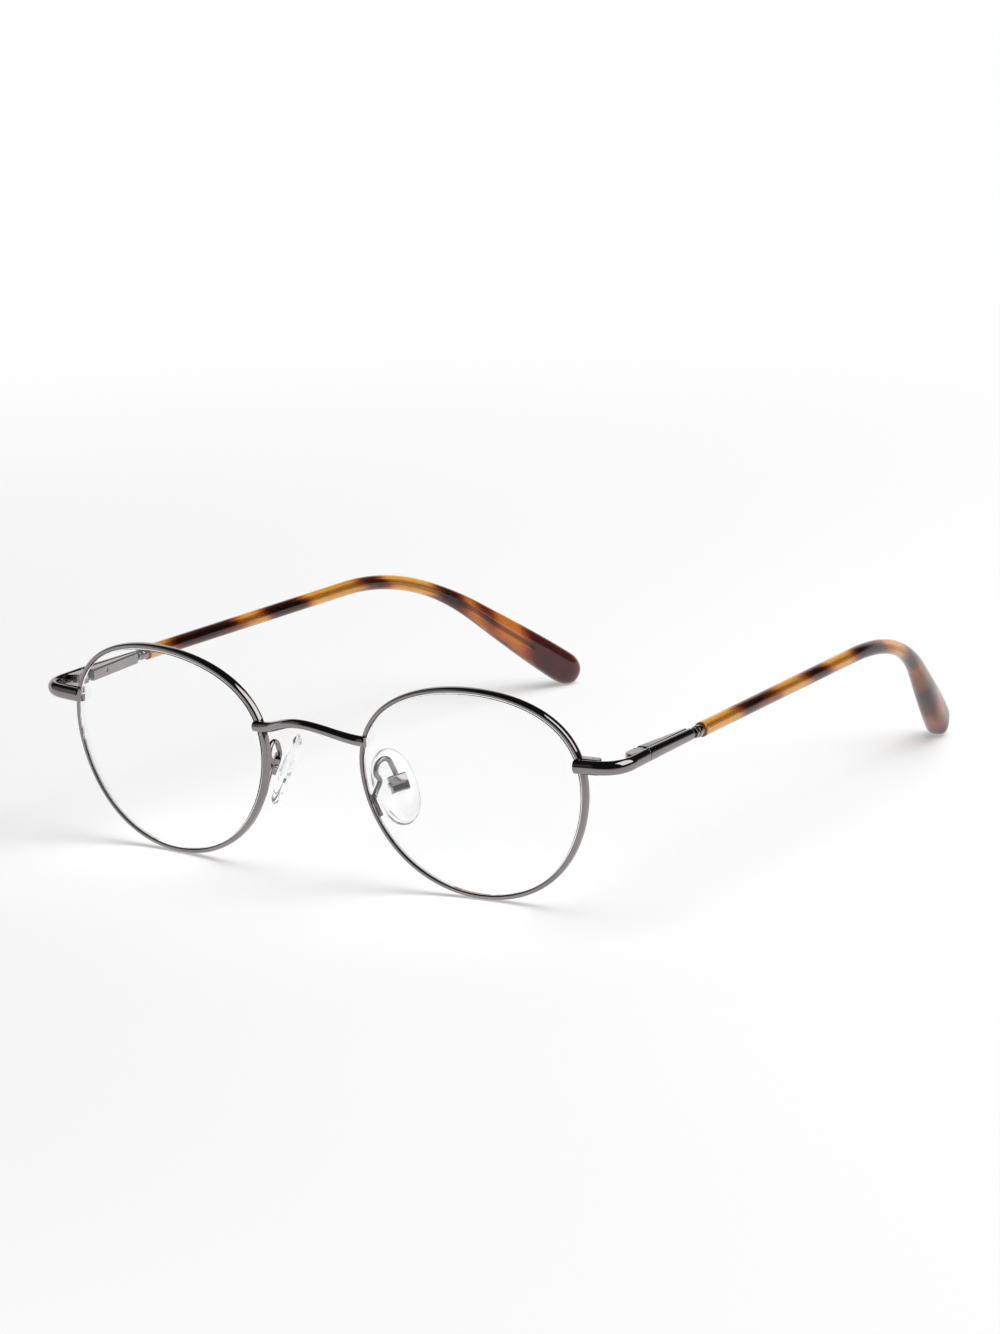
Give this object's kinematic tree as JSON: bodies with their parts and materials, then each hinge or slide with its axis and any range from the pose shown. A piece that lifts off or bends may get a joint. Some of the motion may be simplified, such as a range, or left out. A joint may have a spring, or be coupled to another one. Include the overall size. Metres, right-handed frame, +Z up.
{
  "type": "round metal eyeglasses",
  "caption": "Round metal-rimmed eyeglasses with clear lenses, an arched bridge, soft nose pads on wire arms and spring-hinged temples in tortoiseshell acetate sleeves.",
  "frame": {"origin": "on the ground, under the middle of the open glasses as they stand on the rims and ear tips", "axes": "+Z up, +Y from the lenses back to the ear tips, +X to the wearer's left"},
  "size_m": [0.1344, 0.1578, 0.0415],
  "materials": {
    "gunmetal": "polished gunmetal plating",
    "steel": "bright screw steel",
    "lens": "clear polished lens",
    "pad": "clear soft silicone",
    "insert": "clear hard core",
    "tortoiseshell": "polished tortoiseshell acetate"
  },
  "bodies": {
    "front": {"bridge": "gunmetal", "rim_left": "gunmetal", "rim_right": "gunmetal", "lens_left": "lens", "lens_right": "lens", "rim_lock_upper_left": "gunmetal", "rim_lock_upper_right": "gunmetal", "rim_lock_lower_left": "gunmetal", "rim_lock_lower_right": "gunmetal", "rim_screw_left": "steel", "rim_screw_right": "steel", "end_piece_left": "gunmetal", "end_piece_right": "gunmetal", "hinge_front_left": "gunmetal", "hinge_front_right": "gunmetal", "hinge_screw_left": "steel", "hinge_screw_right": "steel", "pad_arm_left": "gunmetal", "pad_arm_right": "gunmetal", "pad_box_left": "gunmetal", "pad_box_right": "gunmetal", "pad_screw_left": "steel", "pad_screw_right": "steel"},
    "tongue_left": {"hinge_tongue_left": "steel"},
    "tongue_right": {"hinge_tongue_right": "steel"},
    "temple_left": {"spring_box_left": "gunmetal", "stop_pin_left": "steel", "hinge_spring_left": "steel", "temple_bar_left": "gunmetal", "sleeve_collar_left": "gunmetal", "temple_sleeve_left": "tortoiseshell"},
    "temple_right": {"spring_box_right": "gunmetal", "stop_pin_right": "steel", "hinge_spring_right": "steel", "temple_bar_right": "gunmetal", "sleeve_collar_right": "gunmetal", "temple_sleeve_right": "tortoiseshell"},
    "pad_left": {"nose_pad_left": "pad", "pad_insert_left": "insert"},
    "pad_right": {"nose_pad_right": "pad", "pad_insert_right": "insert"}
  },
  "joints": [
    {"name": "fold_left", "type": "hinge", "parent": "front", "child": "tongue_left", "pos_m": [0.06398, -0.06007, 0.02905], "axis": [0.0009, -0.0125, 0.9999], "range_deg": [0, 86]},
    {"name": "fold_right", "type": "hinge", "parent": "front", "child": "tongue_right", "pos_m": [-0.06398, -0.06007, 0.02905], "axis": [0.0009, 0.0125, -0.9999], "range_deg": [0, 81]},
    {"name": "spring_slide_left", "type": "slide", "parent": "tongue_left", "child": "temple_left", "axis": [-0.0715, 0.9974, 0.0126], "range_m": [0, 0.0012], "stiffness_N_per_m": 800, "springref_m": -0.003, "deforming": ["hinge_spring_left"]},
    {"name": "spring_slide_right", "type": "slide", "parent": "tongue_right", "child": "temple_right", "axis": [0.0715, 0.9974, 0.0126], "range_m": [0, 0.0012], "stiffness_N_per_m": 800, "springref_m": -0.003, "deforming": ["hinge_spring_right"]},
    {"name": "pad_rock_left", "type": "hinge", "parent": "front", "child": "pad_left", "pos_m": [0.01335, -0.06775, 0.01887], "axis": [-0.5132, -0.8433, -0.1599], "range_deg": [-12, 12]},
    {"name": "pad_rock_right", "type": "hinge", "parent": "front", "child": "pad_right", "pos_m": [-0.01335, -0.06775, 0.01887], "axis": [-0.5132, 0.8433, 0.1599], "range_deg": [-12, 12]}
  ]
}
